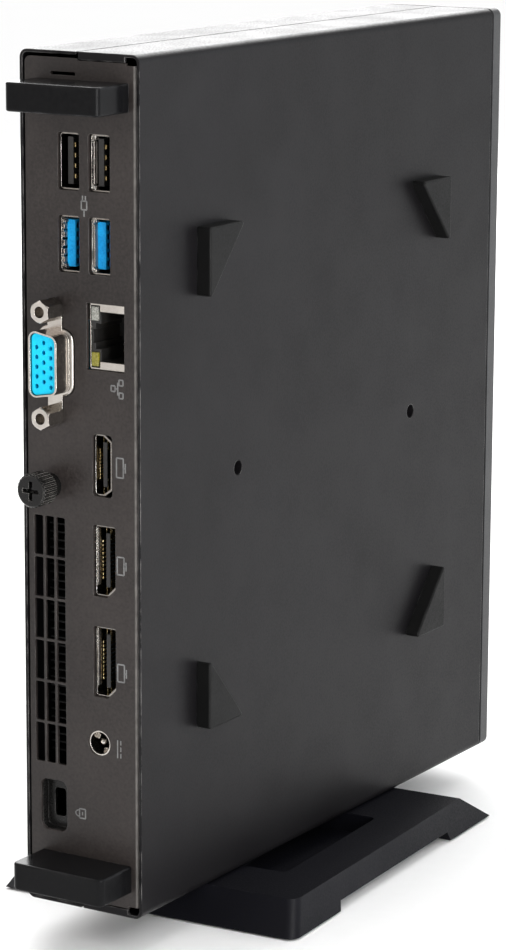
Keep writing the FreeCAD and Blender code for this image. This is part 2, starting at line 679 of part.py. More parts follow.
# ---------------------------------------------------------------- main board and what it carries
def standoff_spots():
    return [(13, 10), (13, 194), (143, 10), (100, 194), (70, 106), (143, 84)]


def main_board():
    board = box((BOARD_X, BOARD_X + BOARD_T), (3, 150), (5, 199))
    cuts = [rod((BOARD_X - 1, y, z), X, 1.7, 4) for y, z in standoff_spots()]
    cuts.append(box((BOARD_X - 1, 12), (0, 16.4), grow(span(LAN_AT[1], LAN_SIZE[1]), 0.4)))
    return board.cut(cuts)


def board_standoffs():
    back = BOARD_X + BOARD_T
    return group(tube((back, y, z), X, 3.0, 1.3, IN_X - back) for y, z in standoff_spots())


def pan_screw(y, z, x, shank):
    """Pan-head machine screw whose head sits on a face at x and whose shank points along +X."""
    head = rod((x - 1.8, y, z), X, 2.7, 1.8)
    head = head.makeFillet(0.7, [edge for edge in head.Edges if edge.CenterOfMass.x < x - 1.7])
    cross = [box((x - 2, x - 0.9), (y - a, y + a), (z - b, z + b)) for a, b in ((0.4, 1.5), (1.5, 0.4))]
    return join(head, rod((x, y, z), X, 1.25, shank)).cut(cross)


def board_screws():
    """Six screws of the main board and four of the cold plate."""
    screws = [pan_screw(y, z, BOARD_X, 5) for y, z in standoff_spots()]
    y, z = CPU_AT
    seat = BOARD_X - 6.0
    screws += [pan_screw(y + 24 * a, z + 24 * b, seat, 6.0) for a in (-1, 1) for b in (-1, 1)]
    return group(screws)


def processor_socket():
    y, z = CPU_AT
    frame = box((BOARD_X - 2.6, BOARD_X), (y - 22, y + 22), (z - 22, z + 22))
    return frame.cut(box((BOARD_X - 3, BOARD_X - 1.2), (y - 18.9, y + 18.9), (z - 18.9, z + 18.9)))


def processor():
    y, z = CPU_AT
    package = box((BOARD_X - 2.4, BOARD_X - 1.2), (y - 18.75, y + 18.75), (z - 18.75, z + 18.75))
    lid = rounded_box((BOARD_X - 4.8, BOARD_X - 2.4), (y - 15, y + 15), (z - 15, z + 15), X, 2)
    return join(package, lid)


def cold_plate():
    """Metal block on the processor, with four spring arms and a saddle for the heat pipe."""
    y, z = CPU_AT
    top = BOARD_X - 4.8
    base = rounded_box((top - 2, top), (y - 20, y + 20), (z - 20, z + 20), X, 3)
    saddle = box((-1.0, top - 2), (y - 15, y + 15), (z - 7, z + 7))
    arms = []
    for a in (-1, 1):
        for b in (-1, 1):
            arms.append(rod((top - 1.2, y + 24 * a, z + 24 * b), X, 3.6, 1.2))
            corner = [(top - 1.2, y + 15 * a, z + 19 * b), (top - 1.2, y + 19 * a, z + 15 * b),
                      (top - 1.2, y + 26 * a, z + 22 * b), (top - 1.2, y + 22 * a, z + 26 * b)]
            arms.append(prism(corner, X * 1.2))
    plate = join(base, saddle, *arms)
    return plate.cut([rod((top - 3, y + 24 * a, z + 24 * b), X, 1.5, 5) for a in (-1, 1) for b in (-1, 1)])


def heat_pipe():
    """Flattened copper pipe from the cold plate, under the blower, to the fins at the rear."""
    y, z = CPU_AT
    thick = (-4.0, -1.0)
    half = 4.0
    turn_y = 20.0
    turn_z = z + 10
    run = box(thick, (turn_y, y + 14), (z - half, z + half))
    inner_r = 10 - half
    outer_r = 10 + half
    sector = box(thick, (turn_y - outer_r, turn_y), (turn_z - outer_r, turn_z))
    bend = tube((thick[0], turn_y, turn_z), X, outer_r, inner_r, thick[1] - thick[0]).common(sector)
    rise = box(thick, (turn_y - outer_r, turn_y - inner_r), (turn_z, 93))
    return join(run, bend, rise)


def heatsink_fins():
    """Stack of thin fins between the blower's outlet and the rear vent."""
    depth = (6, 17.4)
    low, high = 36, 94
    fin = 0.4
    count = 30
    pitch = (high - low - fin) / (count - 1)
    fins = [box((-13.4, -4.2), depth, span(low + index * pitch, fin)) for index in range(count)]
    return join(box((-4.5, -4.0), depth, (low, high)), *fins)


def blower_outline(shrink, x):
    """Round fan chamber merged with its straight outlet duct towards -Y."""
    y, z = FAN_AT
    chamber = rod((x[0], y, z), X, 30 - shrink, x[1] - x[0])
    duct = box(x, (17.6 - (2 if shrink else 0), y), (36 + shrink, 94 - shrink))
    return join(chamber, duct)


def blower_housing():
    y, z = FAN_AT
    body = blower_outline(0, FAN_X).cut(blower_outline(1.2, grow(FAN_X, -1.0)))
    cuts = [rod((FAN_X[0] - 1, y, z), X, 18, 3)]
    for index in range(3):
        angle = math.radians(90 + 120 * index)
        cuts.append(rod((FAN_X[1] - 2, y + 15 * math.cos(angle), z + 15 * math.sin(angle)), X, 4.5, 4))
    return body.cut(cuts)


def blower_motor():
    """Stator and shaft, fixed to the floor of the blower housing."""
    y, z = FAN_AT
    floor = FAN_X[1] - 1.0
    return join(rod((floor - 4.6, y, z), X, 8.8, 4.6), rod((floor - 6.8, y, z), X, 1.0, 3))


def blower_impeller():
    """Hub cup with curved blades tied by a thin ring."""
    y, z = FAN_AT
    x = (FAN_X[0] + 1.8, FAN_X[1] - 1.8)
    hub = rod((x[0], y, z), X, 11, x[1] - x[0]).cut(rod((x[0] + 1.6, y, z), X, 9.5, 8))
    hub = hub.cut(rod((x[0] - 1, y, z), X, 1.05, 4))
    ring = tube((x[1] - 1.2, y, z), X, 25.6, 24.4, 1.0)
    blades = []
    count = 25
    for index in range(count):
        curve = Part.Arc(Vector(x[0] + 0.4, y + 10.6, z), Vector(x[0] + 0.4, y + 18.5, z + 1.9),
                         Vector(x[0] + 0.4, y + 25.2, z + 6.4)).toShape()
        blade = curve.extrude(X * (x[1] - x[0] - 0.6))
        blade = blade.makeOffsetShape(0.5, 1e-3, fill=True)
        blade.rotate(Vector(0, y, z), X, 360.0 * index / count)
        blades.append(blade)
    return join(hub, ring, *blades)


def memory_spots():
    """Low z of the two memory sockets."""
    return (116.0, 152.0)


def card_sockets():
    """Edge sockets of the memory modules, the storage card and the wireless card."""
    sockets = []
    for z in memory_spots():
        bar = box((BOARD_X - 4, BOARD_X), (56, 128), (z, z + 6))
        arms = [box((BOARD_X - 4, BOARD_X), y, (z, z + 34)) for y in ((56, 57.6), (126.4, 128))]
        slot = box((BOARD_X - 3.1, BOARD_X - 1.7), (57.6, 126.4), (z + 2, z + 7))
        sockets.append(join(bar, *arms).cut(slot))
    for y in ((52, 58), (20, 26)):
        socket = box((BOARD_X - 4.2, BOARD_X), y, (7.5, 30.5))
        sockets.append(socket.cut(box((BOARD_X - 3.1, BOARD_X - 2.1), (y[1] - 3, y[1] + 1), (7.8, 30.2))))
    return group(sockets)


def memory_modules():
    modules = []
    for z in memory_spots():
        card = box((BOARD_X - 3.0, BOARD_X - 1.8), (58.2, 125.8), (z + 2.2, z + 32.2))
        chips = [box((BOARD_X - 4.0, BOARD_X - 3.0), span(62 + 15.5 * index, 11), (z + 14, z + 27))
                 for index in range(4)]
        modules.append(join(card, *chips))
    return group(modules)


def card_with_chips(y, z, chips):
    """Edge card held above the board, with chips as (y span, z span) pairs."""
    card = box((BOARD_X - 3.0, BOARD_X - 2.2), y, z)
    return join(card, *[box((BOARD_X - 4.4, BOARD_X - 3.0), chip_y, chip_z) for chip_y, chip_z in chips])


def storage_card():
    chips = [(span(68 + 19 * index, 14), (11, 27)) for index in range(3)]
    return card_with_chips((58, 138), (8, 30), chips)


def wireless_card():
    return card_with_chips((26, 50), (8, 30), [((30, 46), (10, 28))])


def coin_cell():
    return rod((BOARD_X - 4.4, *CELL_AT), X, 10.0, 3.2)


def coin_cell_holder():
    holder = rod((BOARD_X - 3.4, *CELL_AT), X, 11.4, 3.4)
    return holder.cut(rod((BOARD_X - 5, *CELL_AT), X, 10.2, 3.8))


def drive():
    """2.5-inch drive, 100 x 69.85 x 7 mm."""
    body = rounded_box((-12.6, -5.6), (48, 148), (120, 189.85), X, 2.0)
    lid = rounded_box((-12.9, -12.6), (50, 146), (122, 187.85), X, 3.0)
    return join(body, lid)


def drive_tray():
    """Folded steel tray that carries the drive on four posts."""
    floor = box((-5.6, -4.6), (46, 150), (118.8, 191.05))
    walls = [box((-12, -4.6), (46, 150), z) for z in ((118.8, 119.8), (190.05, 191.05))]
    ears = [box((-5.6, -4.6), (y - 4, y + 4), z) for y in (52, 144) for z in ((110, 119), (191, 196.4))]
    posts = [rod((-4.6, y, z), X, 2.2, BOARD_X + 4.6) for y in (52, 144) for z in (112.5, 194)]
    window = rounded_box((-7, -3), (70, 126), (134, 176), X, 6)
    return join(floor, *walls, *ears, *posts).cut(window)


def drive_screws():
    """Flat-headed screws through the tray's walls into the sides of the drive."""
    screws = []
    for y in (62, 138):
        screws.append(rod((-9.0, y, 117.9), Z, 2.4, 0.9))
        screws.append(rod((-9.0, y, 191.05), Z, 2.4, 0.9))
    return group(screws)


def speaker():
    body = rounded_box((5, 14.5), (152, 165), (12, 42), Y, 2)
    return body.cut(rod((4, 158.5, 27), X, 4.5, 3))


# ---------------------------------------------------------------- front controls
def front_board():
    holes = [rod((BOARD_X - 1, 155, z), X, 1.4, 4) for z in (92, 196)]
    return box((BOARD_X, BOARD_X + BOARD_T), (152, 166), (89, 199)).cut(holes)


def power_button():
    """Round cap with a retaining flange and a stem that reaches the switch."""
    cap = rod((FRONT_X, 170.0, BUTTON_Z), Y, BUTTON_R, CASE_D - 0.2 - 170.0)
    cap = cap.makeFillet(0.4, [edge for edge in cap.Edges if edge.CenterOfMass.y > CASE_D - 0.3])
    dish = Part.makeSphere(40, Vector(FRONT_X, CASE_D - 0.5 + 40, BUTTON_Z))
    flange = rod((FRONT_X, 169.15, BUTTON_Z), Y, 6.9, 1.2)
    stem = rod((FRONT_X, 160.9, BUTTON_Z), Y, 1.6, 9)
    return join(cap.cut(dish), flange, stem)


def power_button_guide():
    """Ring on the front wall that holds the button captive."""
    front = FRONT_WALL[1]
    ring = tube((FRONT_X, front, BUTTON_Z), Y, 8.8, 7.2, 4.4)
    return join(ring, tube((FRONT_X, 170.4, BUTTON_Z), Y, 8.8, 6.0, front + 4.4 - 170.4))


def power_switch():
    """Right-angle tactile switch behind the button's stem."""
    body = box((FRONT_X - 3.1, BOARD_X), (154, 159), (BUTTON_Z - 3.1, BUTTON_Z + 3.1))
    return join(body, rod((FRONT_X, 159, BUTTON_Z), Y, 1.7, 160.9 - BUTTON_TRAVEL - 0.05 - 159))


def power_light_pipe():
    pipe = rod((FRONT_X, 157, LIGHT_Z), Y, 1.0, CASE_D - 0.3 - 157)
    return join(pipe, box((FRONT_X - 1.5, BOARD_X), (156, 158), (LIGHT_Z - 1.5, LIGHT_Z + 1.5)))


def front_usb_bodies():
    x0 = FRONT_X - USB_SIZE[0] / 2
    bodies = []
    for z in FRONT_USB_Z:
        back = box((x0, BOARD_X), (154, 158), span(z, USB_SIZE[1]))
        tongue = box((x0 + 1.5, x0 + 3.6), (157, 172.4), grow(span(z, USB_SIZE[1]), -1.1))
        bodies.append(join(back, tongue))
    return group(bodies)


def audio_jacks():
    jacks = []
    for z in AUDIO_Z:
        body = box((FRONT_X - 3.2, BOARD_X), (154, 165.5), (z - 3.2, z + 3.2))
        nose = rod((FRONT_X, 165, z), Y, 2.9, 8.3)
        jacks.append(join(body, nose).cut(rod((FRONT_X, 157, z), Y, 1.8, 20)))
    return group(jacks)


def antennas():
    """Two flat antenna plates on the front wall, under the plastic bezel."""
    wall = FRONT_WALL[1]
    return group(box((-13, -6), (wall, wall + 0.8), z) for z in ((24, 62), (74, 112)))


# ---------------------------------------------------------------- output
PIECES = [
    stand_right, stand_left, stand_pads,
    chassis_base, side_cover, rear_panel, front_bezel, rear_bumpers, rubber_feet, lock_cup,
    thumbscrew, thumbscrew_retainer, thumbscrew_ferrule,
    usb_shells, usb2_body, usb2_contacts, usb3_body,
    lan_jack_shield, lan_jack_insert, lan_jack_contacts, lan_leds,
    video_port_shells, video_port_tongues,
    power_inlet_body, power_inlet_sleeve, power_inlet_pin,
    vga_shell, vga_insert, vga_jackscrews, vga_board, vga_ribbon,
    main_board, board_standoffs, board_screws, processor_socket, processor,
    cold_plate, heat_pipe, heatsink_fins,
    blower_housing, blower_motor, blower_impeller,
    card_sockets, memory_modules, storage_card, wireless_card,
    coin_cell, coin_cell_holder, drive, drive_tray, drive_screws, speaker,
    front_board, power_button, power_button_guide, power_switch, power_light_pipe,
    front_usb_bodies, audio_jacks, antennas,
]


def save(piece):
    """Build a piece, move it to the row frame and write it under its function's name."""
    shape = piece().copy()
    shape.translate(ROW_SHIFT)
    shape.exportStep(os.path.join("parts", piece.__name__ + ".step"))
    box_ = shape.BoundBox
    print("%-22s solids %2d  valid %s  x %.1f..%.1f  y %.1f..%.1f  z %.1f..%.1f" % (
        piece.__name__, len(shape.Solids), shape.isValid(),
        box_.XMin, box_.XMax, box_.YMin, box_.YMax, box_.ZMin, box_.ZMax))


os.makedirs("parts", exist_ok=True)
for piece in PIECES:
    save(piece)
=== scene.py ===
import json
import math

import bmesh
import bpy
from mathutils import Matrix, Vector


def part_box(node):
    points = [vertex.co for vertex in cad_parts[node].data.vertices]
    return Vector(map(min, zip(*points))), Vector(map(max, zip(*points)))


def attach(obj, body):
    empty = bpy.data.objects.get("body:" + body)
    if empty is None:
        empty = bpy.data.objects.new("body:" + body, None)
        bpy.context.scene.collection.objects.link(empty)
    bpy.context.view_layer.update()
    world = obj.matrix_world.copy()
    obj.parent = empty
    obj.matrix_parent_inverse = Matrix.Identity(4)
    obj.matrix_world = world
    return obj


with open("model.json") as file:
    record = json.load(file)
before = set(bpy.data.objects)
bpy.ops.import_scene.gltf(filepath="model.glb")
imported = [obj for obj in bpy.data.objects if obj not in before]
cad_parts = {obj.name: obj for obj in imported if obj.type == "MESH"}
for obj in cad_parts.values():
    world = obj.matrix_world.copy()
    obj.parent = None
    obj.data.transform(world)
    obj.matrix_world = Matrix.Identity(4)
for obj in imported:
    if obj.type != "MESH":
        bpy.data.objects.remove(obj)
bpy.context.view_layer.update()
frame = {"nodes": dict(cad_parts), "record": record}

MM = 0.001

# The case's own corner: x 0 is its middle plane, y 0 its rear rim and z 0 its underside.
CASE_LOW, CASE_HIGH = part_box("chassis_base")
COVER_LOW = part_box("side_cover")[0]
CASE_ORIGIN = Vector(((COVER_LOW.x + CASE_HIGH.x) / 2, CASE_LOW.y, CASE_LOW.z))
PANEL_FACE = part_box("rear_panel")[0].y

CAMERA_TARGET = Vector((0.01175, -0.02125, 0.10527))
CAMERA_AZIMUTH = 31.69
CAMERA_ELEVATION = 12.06
CAMERA_ROLL = 0.25
CAMERA_DISTANCE = 0.8361
CAMERA_LENS = 128.54
SENSOR = 36.0

FLOOR_SIZE = 40.0
FLOOR_SEGMENTS = 8
WORLD_STRENGTH = 0.50
SUN_STRENGTH = 2.3
SUN_ANGLE = 80.0
SUN_FROM = (-0.35, 0.55, 1.0)

# name: direction from the object, distance, width and height, power, colour
LIGHTS = {
    "back_softbox": ((-0.50, 0.80, 0.42), 1.5, (1.3, 1.1), 18.0, (1.0, 1.0, 1.0)),
    "right_softbox": ((0.80, 0.95, 0.35), 1.5, (0.7, 0.8), 2.6, (0.90, 0.95, 1.0)),
    "left_softbox": ((-0.85, -0.95, 0.45), 1.4, (0.8, 0.8), 2.0, (1.0, 0.88, 0.82)),
    "top_softbox": ((0.05, -0.1, 1.0), 1.5, (1.2, 1.2), 2.0, (1.0, 0.99, 0.97)),
}
# Two upright strips on the floor, for the long highlights on the rounded upright edges.
STRIP_AZIMUTHS = (51.0, 66.0)
STRIP_DISTANCE = 0.34
STRIP_SIZE = (0.045, 0.40)
STRIP_POWER = 0.7

# Everything below is in the case's own millimetres, up to the looks.
PANEL_Y = (PANEL_FACE - CASE_ORIGIN.y) / MM
INK = 0.03                  # how far printed marks stand on the panel
LINE = 0.36                 # line width of printed marks
THIN_LINE = 0.3             # line width of the direct-current sign and of the padlock's bow
PLUG_AT = (1.0, 169.0)      # centres of the printed marks, as (x, z)
NETWORK_AT = (10.0, 127.2)
SUPPLY_AT = (10.1, 41.0)
PADLOCK_AT = (-1.1, 23.4)
SCREENS = (((10.6, 108.7), 4.6), ((10.7, 85.4), 4.2), ((10.7, 59.6), 4.2))      # centre and height

MID_DEPTH = 100.0           # rear sleeves start nearer the rear than this, front ones further
SLEEVE_WALL = 0.36          # inner face of a sleeve's wall, from its outer face
LEAF_SET_BACK = 0.35        # start of a leaf, behind the mouth of its sleeve
LEAF_OUTLINE = ((0.0, 0.0), (0.1, 0.0), (0.5, 0.9), (0.4, 0.9))                 # as (x, y)
USB_LEAVES = 5              # short leaves in the outer blue sleeve
LONG_VIDEO_PORT = 16.0      # the two longer video sleeves are taller than this
TONGUE_SIDE = 3.4           # contact side of a blue tongue, from the low side of its sleeve

# Finishes, one for each slot of the record and a few for single nodes and pieces. Colours are
# linear. grain is the size of the fine texture and relief its height, patch the size of the
# mottling and edge the radius of the rounded edges, in metres. spread is how much rough varies.
# The lighter colour given to the rounded edges is part wear and part painted highlight.
LOOKS = {
    "case_paint": dict(dark=(0.0042, 0.0038, 0.0042), light=(0.0085, 0.0080, 0.0090), rough=0.40,
                       grain=0.0005, relief=0.000012, specular=0.125, edge=0.0004,
                       wear_and_highlight=(0.19, 0.185, 0.18)),
    "panel_paint": dict(dark=(0.012, 0.0096, 0.0090), light=(0.036, 0.030, 0.028), rough=0.40, grain=0.0007,
                        relief=0.00004, specular=0.27, edge=0.00025, wear_and_highlight=(0.10, 0.094, 0.088)),
    "bezel_plastic": dict(dark=(0.026, 0.026, 0.027), light=(0.040, 0.040, 0.042), rough=0.45, grain=0.0005,
                          relief=0.000015, specular=0.45, wear_and_highlight=(0.08, 0.08, 0.08)),
    "bumper_plastic": dict(dark=(0.0035, 0.0035, 0.004), light=(0.0065, 0.0065, 0.007), rough=0.20,
                           spread=0.03, grain=0.0012, relief=0.0000025, specular=0.085, edge=0.0005,
                           wear_and_highlight=(0.15, 0.15, 0.15)),
    "stand_plastic": dict(dark=(0.0022, 0.0022, 0.0036), light=(0.0048, 0.0048, 0.0072), rough=0.5,
                          grain=0.0005, relief=0.000018, specular=0.13, wear_and_highlight=(0.03, 0.03, 0.035)),
    "foot_rubber": dict(dark=(0.0035, 0.0035, 0.0035), light=(0.0070, 0.0070, 0.0070), rough=0.5,
                        grain=0.0004, relief=0.00002, specular=0.13, edge=0.0004, wear_and_highlight=(0.12, 0.12, 0.12)),
    "nickel": dict(dark=(0.38, 0.35, 0.32), light=(0.54, 0.51, 0.47), rough=0.20, spread=0.05, grain=0.0008,
                   relief=0.0000012, metallic=1.0, patch=0.006, edge=0.00015, wear_and_highlight=(0.85, 0.82, 0.77)),
    # A darker copy of nickel for the port sleeves: painted shade where they sit back in the panel.
    "shaded_sleeve_nickel": dict(dark=(0.16, 0.145, 0.13), light=(0.30, 0.28, 0.255), rough=0.20, spread=0.05,
                          grain=0.0008, relief=0.0000012, metallic=1.0, patch=0.006, edge=0.00015,
                          wear_and_highlight=(0.85, 0.82, 0.77)),
    "steel": dict(dark=(0.36, 0.36, 0.36), light=(0.55, 0.55, 0.54), rough=0.36, grain=0.0005, relief=0.00001,
                  metallic=1.0, patch=0.008, wear_and_highlight=(0.7, 0.7, 0.7), stretch=(1, 1, 8)),
    "screw_black": dict(dark=(0.004, 0.004, 0.004), light=(0.009, 0.0085, 0.008), rough=0.14, spread=0.04,
                        grain=0.0006, relief=0.000002, specular=0.22, patch=0.004, edge=0.0002,
                        wear_and_highlight=(0.30, 0.29, 0.27)),
    "black_plastic": dict(dark=(0.008, 0.0075, 0.007), light=(0.018, 0.017, 0.016), rough=0.45, grain=0.0004,
                          relief=0.00001, patch=0.006, wear_and_highlight=(0.03, 0.03, 0.03)),
    "blue_plastic": dict(dark=(0.002, 0.24, 0.62), light=(0.006, 0.42, 0.86), rough=0.34, grain=0.0004,
                         relief=0.00001, patch=0.003, specular=0.15, wear_and_highlight=(0.05, 0.5, 0.95)),
    # Darker blue for the contact pockets of the blue tongues: painted shade.
    "pocket_shade_blue": dict(dark=(0.004, 0.12, 0.42), light=(0.008, 0.18, 0.52), rough=0.4, grain=0.0004,
                          relief=0.00001, patch=0.004, edge=0.00005),
    "port_blue": dict(dark=(0.002, 0.50, 0.76), light=(0.006, 0.62, 0.92), rough=0.40, grain=0.0004,
                      relief=0.00001, patch=0.005, specular=0.2, wear_and_highlight=(0.08, 0.66, 0.98)),
    "gold": dict(dark=(0.80, 0.55, 0.22), light=(0.95, 0.72, 0.36), rough=0.22, grain=0.0003, relief=0.000005,
                 metallic=1.0, patch=0.003, wear_and_highlight=(1.0, 0.85, 0.55)),
    "ribbon": dict(dark=(0.30, 0.30, 0.30), light=(0.42, 0.42, 0.41), rough=0.5, grain=0.0004,
                   relief=0.00002),
    "status_window": dict(dark=(0.26, 0.26, 0.23), light=(0.40, 0.40, 0.36), rough=0.25, grain=0.0004,
                          relief=0.00001, patch=0.003, specular=0.6),
    "circuit_board": dict(dark=(0.006, 0.030, 0.016), light=(0.012, 0.060, 0.030), rough=0.38, grain=0.0006,
                          relief=0.00001),
    "aluminium": dict(dark=(0.30, 0.30, 0.31), light=(0.42, 0.42, 0.42), rough=0.36, grain=0.0004,
                      relief=0.00001, metallic=1.0, patch=0.01, wear_and_highlight=(0.55, 0.55, 0.55), stretch=(1, 8, 1)),
    "copper": dict(dark=(0.62, 0.28, 0.17), light=(0.80, 0.42, 0.28), rough=0.28, grain=0.0005,
                   relief=0.00001, metallic=1.0, patch=0.008, wear_and_highlight=(0.9, 0.6, 0.45)),
    # The heat sink's fins darkened as painted shade, where they sit back behind the vents.
    "shaded_fins": dict(dark=(0.006, 0.006, 0.006), light=(0.014, 0.014, 0.014), rough=0.5, grain=0.0004,
                           relief=0.00001, specular=0.2, patch=0.01),
    "lock_lining": dict(dark=(0.006, 0.0058, 0.0055), light=(0.012, 0.0115, 0.011), rough=0.3, grain=0.0005,
                        relief=0.000006, specular=0.25, patch=0.005, edge=0.0003, wear_and_highlight=(0.12, 0.115, 0.11)),
    "pale_ink": dict(dark=(0.10, 0.10, 0.10), light=(0.22, 0.22, 0.22), rough=0.55, spread=0.05, grain=0.0003,
                     relief=0.00001, patch=0.002, edge=0.00005),
    "studio_floor": dict(dark=(0.86, 0.86, 0.86), light=(0.88, 0.88, 0.88), rough=0.8, grain=0.004,
                         relief=0.00002, patch=0.6, specular=0.1, edge=0.001),
}
# Nodes that look different from the rest of their slot. The port sleeves and the heat sink's fins get darker
# copies of their finish as painted shade.
NODE_LOOKS = {
    "usb_shells": "shaded_sleeve_nickel",
    "video_port_shells": "shaded_sleeve_nickel",
    "heatsink_fins": "shaded_fins",
    "lock_cup": "lock_lining",
}
BEVEL_SAMPLES = 4
WEAR_AND_HIGHLIGHT_FACING = (0.99, 0.82)  # how far a rounded normal turns from its face, where the wear and painted highlight start and are full
WEAR_AND_HIGHLIGHT_PATCH = 0.004          # size of the gaps in the worn, painted-highlight edges

FOLD_HIGHLIGHT_BAND = (1.25 * MM, 0.95 * MM)      # the painted highlight along the panel's fold, from its outer edge: start and full
# Colour of the painted highlight on the panel's fold.
FOLD_HIGHLIGHT = (0.17, 0.16, 0.15)
RIBBON_WAVES = 250.0
WINDOW_BLEND = 0.0005       # half height of the change between the two window colours
LOWER_WINDOW = (0.28, 0.25, 0.02)
TRACK_SCALE = 180.0
PAD_SCALE = 420.0
TRACK_COLOUR = (0.03, 0.13, 0.06)
PAD_COLOUR = (0.55, 0.54, 0.50)


# ---------------------------------------------------------------- node helpers
def add(tree, kind, sockets=None, **settings):
    """A new shader node with its settings, and its inputs set to values or linked to outputs."""
    node = tree.nodes.new("ShaderNode" + kind)
    for key, value in settings.items():
        setattr(node, key, value)
    for key, value in (sockets or {}).items():
        if isinstance(value, bpy.types.NodeSocket):
            tree.links.new(value, node.inputs[key])
        else:
            node.inputs[key].default_value = value
    return node


def object_coordinates(tree):
    return add(tree, "TexCoord").outputs["Object"]


def noise(tree, size, detail=2.0, stretch=(1, 1, 1)):
    """Noise with features about size metres across, fixed to the object."""
    scale = [1 / (size * factor) for factor in stretch]
    placed = add(tree, "Mapping", {"Vector": object_coordinates(tree), "Scale": scale})
    return add(tree, "TexNoise", {"Vector": placed.outputs[0], "Scale": 1.0, "Detail": detail}).outputs[0]


def remap(tree, value, low, high, to_low=0.0, to_high=1.0):
    """A value mapped from one span to another, and held inside it."""
    sockets = {"Value": value, "From Min": low, "From Max": high, "To Min": to_low, "To Max": to_high}
    return add(tree, "MapRange", sockets).outputs[0]


def mix_colours(tree, factor, first, second):
    """Two colours mixed, each a value or an output."""
    sockets = {0: factor, 6: first, 7: second}
    return add(tree, "Mix", sockets, data_type="RGBA").outputs[2]


def multiply(tree, first, second):
    return add(tree, "Math", {0: first, 1: second}, operation="MULTIPLY").outputs[0]


def rgba(colour):
    return (*colour, 1.0)


# ---------------------------------------------------------------- materials
def finish(name, dark, light, rough, grain, relief, metallic=0.0, specular=0.5, patch=0.03,
           spread=0.08, edge=0.0002, wear_and_highlight=None, stretch=(1, 1, 1)):
    """A finish with mottled colour, uneven gloss, fine grain and rounded edges lightened as wear and as a
    painted highlight.
    """
    material = bpy.data.materials.new(name)
    material.use_nodes = True
    tree = material.node_tree
    shader = tree.nodes["Principled BSDF"]
    shader.inputs["Metallic"].default_value = metallic
    shader.inputs["Specular IOR Level"].default_value = specular

    mottle = remap(tree, noise(tree, patch, 4.0), 0.35, 0.65)
    fine = noise(tree, grain, 2.0, stretch)
    speck = remap(tree, fine, 0.3, 0.7)
    tone = add(tree, "Math", {0: mottle, 1: speck}, operation="ADD").outputs[0]
    colour = mix_colours(tree, multiply(tree, tone, 0.5), rgba(dark), rgba(light))

    rounded = add(tree, "Bevel", {"Radius": edge}, samples=BEVEL_SAMPLES).outputs[0]
    # Rounded edges mixed towards a lighter colour: part wear, part painted highlight.
    if wear_and_highlight:
        face = add(tree, "NewGeometry").outputs["Normal"]
        facing = add(tree, "VectorMath", {0: rounded, 1: face}, operation="DOT_PRODUCT").outputs["Value"]
        gaps = remap(tree, noise(tree, WEAR_AND_HIGHLIGHT_PATCH, 3.0), 0.4, 0.6)
        wear_and_highlight_mask = multiply(tree, remap(tree, facing, *WEAR_AND_HIGHLIGHT_FACING), gaps)
        colour = mix_colours(tree, wear_and_highlight_mask, colour, rgba(wear_and_highlight))
    tree.links.new(colour, shader.inputs["Base Color"])

    gloss = add(tree, "Math", {0: noise(tree, patch * 0.4, 3.0), 1: speck}, operation="ADD").outputs[0]
    tree.links.new(remap(tree, gloss, 0.6, 1.4, rough - spread, rough + spread), shader.inputs["Roughness"])
    bump = add(tree, "Bump", {"Strength": 1.0, "Distance": relief, "Height": fine, "Normal": rounded})
    tree.links.new(bump.outputs[0], shader.inputs["Normal"])
    return material


def paint_fold_highlight(tree, shader, paint):
    """A painted highlight along the panel's folded upright edge, brighter in patches."""
    across = add(tree, "SeparateXYZ", {0: object_coordinates(tree)}).outputs[0]
    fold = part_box("rear_panel")[1].x
    rise = remap(tree, across, fold - FOLD_HIGHLIGHT_BAND[0], fold - FOLD_HIGHLIGHT_BAND[1])
    wear_and_highlight_mask = multiply(tree, rise, remap(tree, noise(tree, 0.003, 3.0), 0.3, 0.7, 0.45, 1.0))
    highlighted = mix_colours(tree, wear_and_highlight_mask, paint, rgba(FOLD_HIGHLIGHT))
    tree.links.new(highlighted, shader.inputs["Base Color"])


def ridge_cable(tree, shader, _):
    """The conductors of the flat cable, as fine ridges."""
    ridges = add(tree, "TexWave", {"Vector": object_coordinates(tree), "Scale": RIBBON_WAVES},
                 bands_direction="Z")
    bump = add(tree, "Bump", {"Strength": 1.0, "Distance": 0.0002, "Height": ridges.outputs[1]})
    tree.links.new(bump.outputs[0], shader.inputs["Normal"])


def tint_windows(tree, shader, clear):
    """Clear window above and yellow-green window below, as tinted plastic."""
    height = add(tree, "SeparateXYZ", {0: object_coordinates(tree)}).outputs[2]
    low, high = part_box("lan_leds")
    middle = (low.z + high.z) / 2
    upper = remap(tree, height, middle - WINDOW_BLEND, middle + WINDOW_BLEND)
    tinted = mix_colours(tree, upper, rgba(LOWER_WINDOW), clear)
    tree.links.new(tinted, shader.inputs["Base Color"])
    shader.inputs["Transmission Weight"].default_value = 0.25
    shader.inputs["IOR"].default_value = 1.49


def print_tracks(tree, shader, mask):
    """Fine tracks and pads on the solder mask."""
    coordinates = object_coordinates(tree)
    turned = add(tree, "Mapping", {"Vector": coordinates, "Rotation": (0.0, math.radians(90), 0.0)})
    tracks = add(tree, "TexBrick", {"Vector": turned.outputs[0], "Scale": TRACK_SCALE, "Mortar Size": 0.08,
                                    "Brick Width": 1.7, "Row Height": 0.21})
    pads = add(tree, "TexVoronoi", {"Vector": coordinates, "Scale": PAD_SCALE}, distance="CHEBYCHEV")
    pad = remap(tree, pads.outputs[0], 0.16, 0.12)
    line = multiply(tree, tracks.outputs["Fac"], 0.5)
    traced = mix_colours(tree, line, mask, rgba(TRACK_COLOUR))
    padded = mix_colours(tree, multiply(tree, pad, 0.8), traced, rgba(PAD_COLOUR))
    tree.links.new(padded, shader.inputs["Base Color"])


